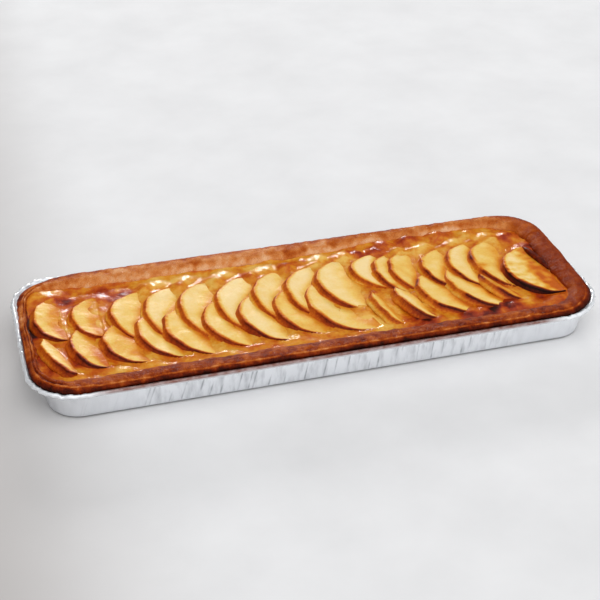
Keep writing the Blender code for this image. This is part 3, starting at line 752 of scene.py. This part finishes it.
def arcSpot(row, degrees, outward):
    # a place beside a slice's raised arc, in the ground plan
    a = radians(degrees)
    turned = sliceFrame(row)
    length, depth = row[2] * mm, row[3] * mm
    arc = turned @ Vector((-depth * cos(a), length / 2 * sin(a), 0))
    out = (turned.to_3x3() @ Vector((-cos(a), sin(a), 0))).normalized()
    return np.array((arc.x + out.x * outward, arc.y + out.y * outward))


def fillingShape(spots):
    # level, up at the case, drawn up outside the slices' arcs, under the faces, and over some cores
    length, width, _ = crust["hollow"]
    x, y = spots[:, 0], spots[:, 1]
    brim = np.array([width / 2 + spill(*spot) for spot in spots])
    edge = np.minimum(brim - np.abs(y), length / 2 - np.abs(x - crust["hollowX"])).clip(0)
    far = ((y - 12 * mm) / (14 * mm)).clip(0, 1)
    ridge, lobe, cover, face, flood = (np.zeros(len(x)) for _ in range(5))
    for _, rowName, number, row in allSlices():
        close = np.abs(x - row[0] * mm - 8 * mm) < 30 * mm
        near = spots[close]
        # how near each spot is to the slice's arc
        line = np.array([arcSpot(row, degrees, 0.0) for degrees in np.linspace(-90, 90, 90)])
        nearest = np.sqrt(((near[:, None, :] - line[None, :, :]) ** 2).sum(2)).min(1)
        inside, fromCore, height = overSlice(near, row)
        reach = np.where(inside, filling["faceReach"], filling["reach"])
        ridge[close] = np.maximum(ridge[close], np.exp(-(nearest / reach) ** 2))
        # and to its straight core side
        turned = sliceFrame(row)
        ends = [np.array((turned @ Vector((0, side * row[2] * mm / 2, 0)))[:2]) for side in (-1, 1)]
        chord = ends[1] - ends[0]
        share = ((near - ends[0]) @ chord / (chord ** 2).sum()).clip(0, 1)
        fromChord = np.sqrt(((near - ends[0] - share[:, None] * chord) ** 2).sum(1))
        flood[close] = np.maximum(flood[close], np.exp(-(fromChord / filling["floodReach"]) ** 2))
        face[close] = np.where(inside, np.maximum(face[close], height), face[close])
        covered = filling["covers"].get(rowName + str(number), filling["cover"])
        cover[close] = np.where(inside, np.clip((covered - fromCore) / 0.3 + 0.5, 0, 1), cover[close])
    ridge *= (edge / (4 * mm)).clip(0, 1) * (0.55 + 0.45 * far)
    browned = np.zeros(len(x))
    for humpX, humpY, size, rise, toast in filling["humps"]:
        bulge = np.exp(-((x - humpX * mm) ** 2 + (y - humpY * mm) ** 2) / (size * mm) ** 2)
        lobe = np.maximum(lobe, rise * mm * bulge)
        browned += toast * bulge
    lobe *= (edge / (2.5 * mm)).clip(0, 1)
    base = filling["level"] + filling["edgeRise"] * (0.5 + 0.5 * far) * np.exp(-edge / (4 * mm))
    base = np.maximum(base, base + (filling["flood"] + 0.5 * mm * far - base) * flood)
    height = base + filling["ridge"] * ridge
    height = np.where(face > 0, np.maximum(np.minimum(height, face - 1.0 * mm), base), height)
    height = np.where(cover > 0.02, np.maximum(height, face - 0.8 * mm + 1.0 * mm * cover), height)
    height = np.maximum(height, base + filling["swell"] * lobe)
    browned -= 0.14 * np.maximum(flood, cover) * (1 - ridge)
    return height, ridge, browned, far, edge


def makeFilling():
    length, width, corner = crust["hollow"]
    over, bake = filling["over"], filling["bake"]
    bm = bmesh.new()
    bmesh.ops.create_grid(bm, x_segments=filling["grid"][0], y_segments=filling["grid"][1], size=1.0)
    toast = bm.verts.layers.float.new("toast")
    ragged = bm.verts.layers.float.new("ragged")
    # the square grid is drawn out to the hollow's rounded outline, with its rows closer at the sides
    for vert in bm.verts:
        t = vert.co.y
        y = (width / 2 + over) * (1.15 * t - 0.15 * t ** 3)
        past = max(0.0, abs(y) - (width / 2 - corner) - over)
        half = length / 2 + over - corner + sqrt(max(0.0, corner ** 2 - past ** 2))
        x = crust["hollowX"] + half * vert.co.x
        vert.co = (x, y + spill(x, y), 0)
    spots = np.array([(v.co.x, v.co.y) for v in bm.verts])
    for vert, height, ridge, browned, far, edge in zip(bm.verts, *fillingShape(spots)):
        x, y = vert.co.x, vert.co.y
        vert.co.z = height + mm * (0.35 * wave(x, y, 12 * mm, 8.0) + 0.14 * rough(x, y, 4 * mm, 9.0))
        patch = rough(x, y, 9 * mm, 43.0)
        middle = smooth(-115 * mm, -95 * mm, x) * smooth(60 * mm, 30 * mm, x)
        parts = dict(all=1.0, far=far, farMiddle=far * middle, ridge=ridge, patch=patch,
                     left=smooth(-125 * mm, -150 * mm, x), right=smooth(120 * mm, 150 * mm, x),
                     edge=exp(-edge / (3 * mm)))
        vert[toast] = browned * (1 + 0.6 * patch) + sum(bake[part] * amount for part, amount in parts.items())
        vert[ragged] = 1.0 + 1.2 * max(0.0, browned)
    # its body, narrowing to the floor
    pulled = bmesh.ops.extrude_face_region(bm, geom=bm.faces[:])["geom"]
    tx, ty = crust["taper"]
    for vert in [item for item in pulled if isinstance(item, bmesh.types.BMVert)]:
        vert.co = ((vert.co.x - crust["hollowX"]) * tx * 0.985 + crust["hollowX"], vert.co.y * ty * 0.97,
                   filling["floor"])
    flat = [item for item in pulled if isinstance(item, bmesh.types.BMFace)]
    bmesh.ops.dissolve_faces(bm, faces=flat)
    # the pulled sides come in a different order each time, so all faces are numbered by their places
    for number, face in enumerate(sorted(bm.faces, key=lambda face: tuple(face.calc_center_median()))):
        face.index = number
    bm.faces.sort()
    makePiece("custardFilling", bm, bakedMaterial("custard", filling["look"]), "custard", "custard_filling")
    print("filling made")


# a curl of dark peel beside the last slice

peel = dict(
    # x, y, height and radius, all in mm
    path=((151.9, 17.5, 21.3, 0.6), (152.7, 12.5, 21.8, 1.7), (153.7, 6.5, 21.9, 2.0), (154.8, 0.0, 21.9, 2.0),
          (155.8, -6.0, 21.8, 1.7), (156.8, -11.0, 21.2, 0.6)),
    uneven=0.28 * mm, toast=0.80, patchy=0.12, ragged=1.4, grid=(60, 20),
)


def peelPoint(u, v):
    # along the curl, and round it
    path = peel["path"]
    spot = min(u * (len(path) - 1), len(path) - 1.001)
    start, end = path[int(spot)], path[int(spot) + 1]
    x, y, z, radius = (mix(a, b, smooth(0, 1, spot - int(spot))) * mm for a, b in zip(start, end))
    turn = 2 * pi * v
    bumpy = wave(y, 3 * mm * cos(turn), 4 * mm, 51.0) + 0.6 * wave(y, 3 * mm * sin(turn), 1.7 * mm, 53.0)
    radius += peel["uneven"] * bumpy * min(1.0, radius / mm)
    point = Vector((x + radius * cos(turn), y, z + radius * sin(turn)))
    return point, (peel["toast"] + peel["patchy"] * wave(y, v * 9 * mm, 3 * mm, 57.0), peel["ragged"])


def makePeel(material):
    bm = gridSkin(*peel["grid"], peelPoint, seam=True)
    closeHoles(bm)
    makePiece("curledPeel", bm, material, "apple")


# the table, the light and the camera

table = dict(
    size=4.0, cloud=60 * mm, tones=((233, 232, 232), (241, 240, 240)), rough=0.8,
    # a painted shadow darkens the floor towards the left
    fade=(-0.24, -0.09), faded=(190, 185, 182),       # where along X it darkens to the left, and to what
)


def makeTable():
    bm = bmesh.new()
    bmesh.ops.create_grid(bm, x_segments=1, y_segments=1, size=table["size"])
    mesh = bpy.data.meshes.new("table")
    bm.to_mesh(mesh)
    bm.free()
    material = bpy.data.materials.new("tableTop")
    material.use_nodes = True
    tree = material.node_tree
    shader = tree.nodes["Principled BSDF"]
    place = addNode(tree, "TexCoord", {}).outputs["Object"]
    cloud = noiseNode(tree, place, table["cloud"], 5.0)
    shade = rampNode(tree, cloud, tuple(zip((0.3, 0.7), table["tones"])))
    side = addNode(tree, "SeparateXYZ", {0: place}).outputs["X"]
    # painted shadow over the left of the floor
    fade = rangeNode(tree, side, *table["fade"], 1.0, 0.0, "SMOOTHSTEP")
    tree.links.new(tintNode(tree, fade, shade, table["faded"]), shader.inputs["Base Color"])
    shader.inputs["Roughness"].default_value = table["rough"]
    shader.inputs["Specular IOR Level"].default_value = 0.0
    mesh.materials.append(material)
    board = bpy.data.objects.new("table", mesh)
    bpy.context.scene.collection.objects.link(board)


def makeLight(name, place, size, power):
    lamp = bpy.data.lights.new(name, "AREA")
    lamp.shape = "RECTANGLE"
    lamp.size, lamp.size_y = size
    lamp.energy = power
    light = bpy.data.objects.new(name, lamp)
    light.location = place
    light.rotation_euler = (Vector(studio["aim"]) - Vector(place)).to_track_quat("-Z", "Y").to_euler()
    bpy.context.scene.collection.objects.link(light)


studio = dict(
    # the sky is brightest in this direction
    brightSide=(0.12, -0.6, 0.79), dark=0.14, bright=1.24, sky=(0.97, 0.985, 1.0, 1),
    # name, place, size and watts; all aim at the middle of the tart
    lights=(("backWindow", (0.8, 4.2, 1.15), (1.1, 0.5), 78.0),
            ("overhead", (-0.3, -0.3, 2.6), (2.0, 1.8), 6.5)),
    aim=(0, 0, 0.02),
    # the camera's lens and sensor in mm, and its turn in degrees
    lens=78.19, sensor=36, cameraPlace=(-0.19797, -0.63807, 0.45106), cameraTurn=(57.02, -0.722, -16.44),
)


def makeStudio():
    makeTable()
    world = bpy.data.worlds.new("studio")
    bpy.context.scene.world = world
    world.use_nodes = True
    tree = world.node_tree
    way = addNode(tree, "TexCoord", {}).outputs["Generated"]
    facing = addNode(tree, "VectorMath", {0: way, 1: studio["brightSide"]},
                     operation="DOT_PRODUCT").outputs["Value"]
    sky = tree.nodes["Background"]
    sky.inputs["Color"].default_value = studio["sky"]
    glow = rangeNode(tree, facing, 0.0, 0.9, studio["dark"], studio["bright"])
    tree.links.new(glow, sky.inputs["Strength"])
    for light in studio["lights"]:
        makeLight(*light)
    bpy.context.scene.view_settings.view_transform = "Standard"
    camera = bpy.data.objects.new("camera", bpy.data.cameras.new("camera"))
    camera.data.lens = studio["lens"]
    camera.data.sensor_width = studio["sensor"]
    camera.location = studio["cameraPlace"]
    camera.rotation_euler = Euler([radians(angle) for angle in studio["cameraTurn"]])
    bpy.context.scene.collection.objects.link(camera)
    bpy.context.scene.camera = camera
    print("studio set")


makeTray()
makeCrust()
makeFilling()
makeSlices()
makeStudio()
